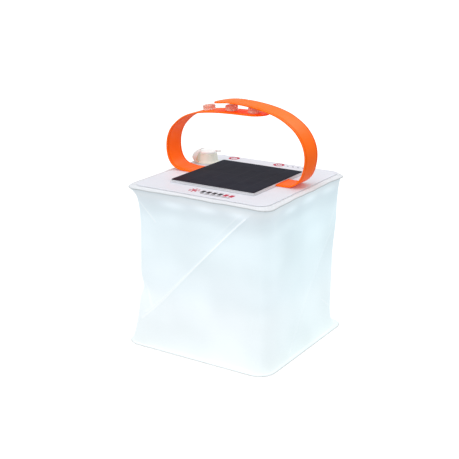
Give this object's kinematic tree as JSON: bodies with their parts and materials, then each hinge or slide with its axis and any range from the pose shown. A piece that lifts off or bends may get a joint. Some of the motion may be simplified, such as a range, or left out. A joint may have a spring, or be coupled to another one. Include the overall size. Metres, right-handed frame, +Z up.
{
  "type": "inflatable solar lantern",
  "caption": "Cube-shaped inflatable film lantern that folds flat, with a solar panel top, inflation valve, push buttons and a snap-closed strap handle.",
  "frame": {"origin": "middle of the bottom sheet's underside, on the surface that the lantern stands on", "axes": "+Z up through the top unit, +X to the side where the upper strap leaves the panel, +Y to the side with the buttons and valve"},
  "size_m": [0.164, 0.164, 0.2367],
  "materials": {
    "frosted_film": "frosted translucent film, satin",
    "white_print": "satin printed film",
    "white_laminate": "satin",
    "solar_cells": "satin laminate",
    "pad_foam": "matte foam",
    "orange_strap": "satin coated webbing",
    "clear_plastic": "clear, slightly milky",
    "valve_rubber": "matte",
    "circuit_board": "white solder mask",
    "battery_wrap": "shrink wrap",
    "standoff_brass": "turned",
    "screw_steel": "plated",
    "led_chip": "lit white",
    "button_white": "satin",
    "switch_black": "matte",
    "indicator_lens": "clear tinted",
    "lead_red": "sleeve",
    "lead_black": "sleeve"
  },
  "bodies": {
    "base": {"bottom_sheet": "frosted_film", "side_wall": "frosted_film"},
    "top_unit": {"top_sheet": "frosted_film", "printed_face": "white_print", "solar_panel_board": "white_laminate", "solar_cell_sheet": "solar_cells", "panel_pad_front": "pad_foam", "panel_pad_rear": "pad_foam", "panel_lead_1": "lead_red", "panel_lead_2": "lead_black", "strap_band": "orange_strap", "valve_body": "clear_plastic", "valve_flap": "valve_rubber", "module_tray": "clear_plastic", "circuit_board": "circuit_board", "board_standoff_1": "standoff_brass", "board_standoff_2": "standoff_brass", "board_standoff_3": "standoff_brass", "board_standoff_4": "standoff_brass", "board_screw_1": "screw_steel", "board_screw_2": "screw_steel", "board_screw_3": "screw_steel", "board_screw_4": "screw_steel", "battery": "battery_wrap", "main_led_01": "led_chip", "main_led_02": "led_chip", "main_led_03": "led_chip", "main_led_04": "led_chip", "main_led_05": "led_chip", "main_led_06": "led_chip", "main_led_07": "led_chip", "main_led_08": "led_chip", "main_led_09": "led_chip", "main_led_10": "led_chip", "power_switch": "switch_black", "level_switch": "switch_black", "level_indicator_1": "indicator_lens", "level_indicator_2": "indicator_lens", "level_indicator_3": "indicator_lens", "level_indicator_4": "indicator_lens"},
    "lower_strap": {"strap_lower_end": "orange_strap", "snap_socket_1": "clear_plastic", "snap_socket_2": "clear_plastic", "snap_socket_3": "clear_plastic", "snap_rivet_1": "clear_plastic", "snap_rivet_2": "clear_plastic", "snap_rivet_3": "clear_plastic"},
    "upper_strap": {"strap_upper_end": "orange_strap", "snap_stud_1": "clear_plastic", "snap_stud_2": "clear_plastic"},
    "valve_lid": {"valve_cap": "clear_plastic"},
    "power_key": {"power_button": "button_white"},
    "level_key": {"level_button": "button_white"}
  },
  "joints": [
    {"name": "collapse", "type": "slide", "parent": "base", "child": "top_unit", "axis": [0, 0, -1], "range_m": [0, 0.125], "deforming": ["side_wall"]},
    {"name": "unclasp_strap", "type": "hinge", "parent": "top_unit", "child": "upper_strap", "pos_m": [0.05753, 0.006, 0.22201], "axis": [0, 1, 0], "range_deg": [0, 80]},
    {"name": "drop_strap", "type": "hinge", "parent": "top_unit", "child": "lower_strap", "pos_m": [-0.06032, 0.006, 0.217], "axis": [0, 1, 0], "range_deg": [0, 35]},
    {"name": "open_valve", "type": "hinge", "parent": "top_unit", "child": "valve_lid", "pos_m": [-0.07235, 0.03731, 0.17215], "axis": [0.342, -0.9397, 0], "range_deg": [0, 130]},
    {"name": "press_power", "type": "slide", "parent": "top_unit", "child": "power_key", "axis": [0, 0, -1], "range_m": [0, 0.0005], "stiffness_N_per_m": 800, "springref_m": -0.0002},
    {"name": "press_level", "type": "slide", "parent": "top_unit", "child": "level_key", "axis": [0, 0, -1], "range_m": [0, 0.0005], "stiffness_N_per_m": 800, "springref_m": -0.0002}
  ]
}
